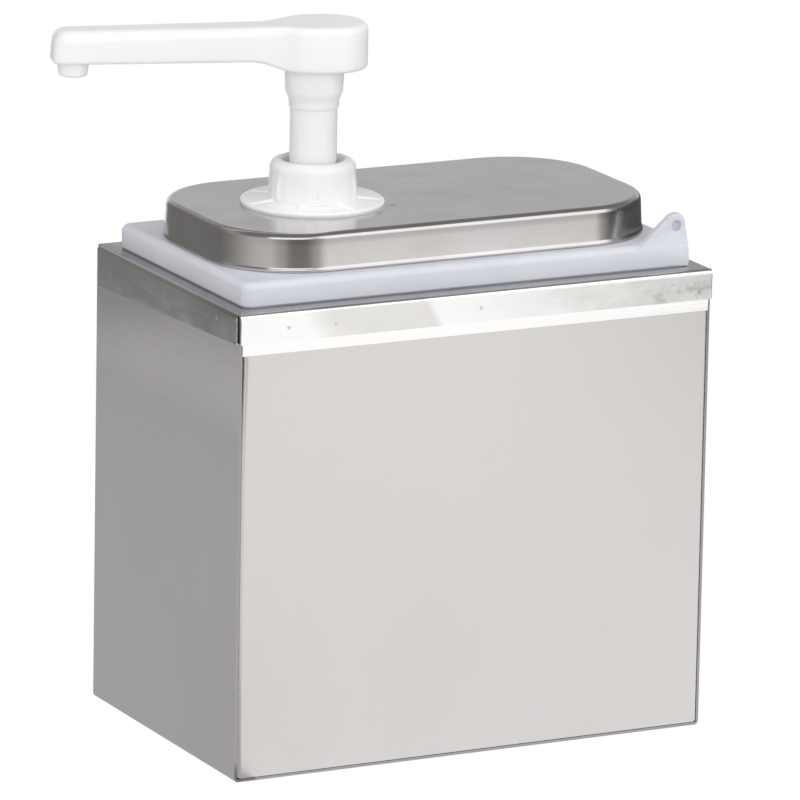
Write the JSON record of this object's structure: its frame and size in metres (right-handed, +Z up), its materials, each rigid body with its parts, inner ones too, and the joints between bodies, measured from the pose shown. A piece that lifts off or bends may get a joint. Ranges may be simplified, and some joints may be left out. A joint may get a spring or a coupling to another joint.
{
  "type": "sauce dispenser",
  "caption": "Countertop sauce dispenser: folded steel housing, lift-out plastic tank, steel lid and a press-down plunger pump with a swivelling spout.",
  "frame": {"origin": "middle of the housing's underside", "axes": "+Z up, X along the long side with the spout toward -X, the front panel at -Y"},
  "size_m": [0.2238, 0.122, 0.261],
  "materials": {
    "wall_steel": "satin brushed stainless sheet",
    "polished_steel": "bright polished stainless sheet",
    "lid_steel": "pressed stainless, satin top and polished sides",
    "tank_plastic": "translucent bluish white polypropylene",
    "pump_plastic": "white moulded plastic, slight gloss",
    "bush_plastic": "natural ivory plastic",
    "tube_plastic": "translucent white tube",
    "seal_rubber": "grey food-grade silicone rubber",
    "spring_steel": "drawn stainless wire",
    "ball_steel": "polished stainless ball"
  },
  "bodies": {
    "housing": {"side_wrap": "wall_steel", "front_panel": "wall_steel", "back_panel": "wall_steel", "top_frame": "polished_steel"},
    "tank": {"tank": "tank_plastic"},
    "lid": {"lid": "lid_steel", "flange_gasket": "seal_rubber", "pump_flange": "pump_plastic", "collar_nut": "pump_plastic", "guide_bush": "bush_plastic", "stem_seal": "seal_rubber", "pump_cylinder": "pump_plastic", "cylinder_gasket": "seal_rubber", "inlet_valve_body": "pump_plastic", "inlet_gasket": "seal_rubber", "ball_retainer": "bush_plastic", "dip_tube": "tube_plastic", "return_spring": "spring_steel"},
    "inlet_ball": {"inlet_ball": "ball_steel"},
    "piston": {"piston": "bush_plastic", "piston_rings": "seal_rubber"},
    "spout": {"pump_stem": "pump_plastic", "outlet_seat": "bush_plastic", "spout_head": "pump_plastic", "nozzle_tip": "pump_plastic"},
    "outlet_ball": {"outlet_ball": "ball_steel"}
  },
  "joints": [
    {"name": "tank_lift", "type": "slide", "parent": "housing", "child": "tank", "axis": [0, 0, 1], "range_m": [0, 0.185]},
    {"name": "lid_lift", "type": "slide", "parent": "tank", "child": "lid", "axis": [0, 0, 1], "range_m": [0, 0.19]},
    {"name": "pump_press", "type": "slide", "parent": "lid", "child": "piston", "axis": [0, 0, -1], "range_m": [0, 0.022], "stiffness_N_per_m": 400, "springref_m": -0.015, "deforming": ["return_spring"]},
    {"name": "spout_swivel", "type": "hinge", "parent": "piston", "child": "spout", "pos_m": [-0.037, 0, 0.2], "axis": [0, 0, 1], "continuous": true},
    {"name": "inlet_ball_lift", "type": "slide", "parent": "lid", "child": "inlet_ball", "axis": [0, 0, 1], "range_m": [0, 0.003]},
    {"name": "outlet_ball_lift", "type": "slide", "parent": "spout", "child": "outlet_ball", "axis": [0, 0, 1], "range_m": [0, 0.0035]}
  ]
}
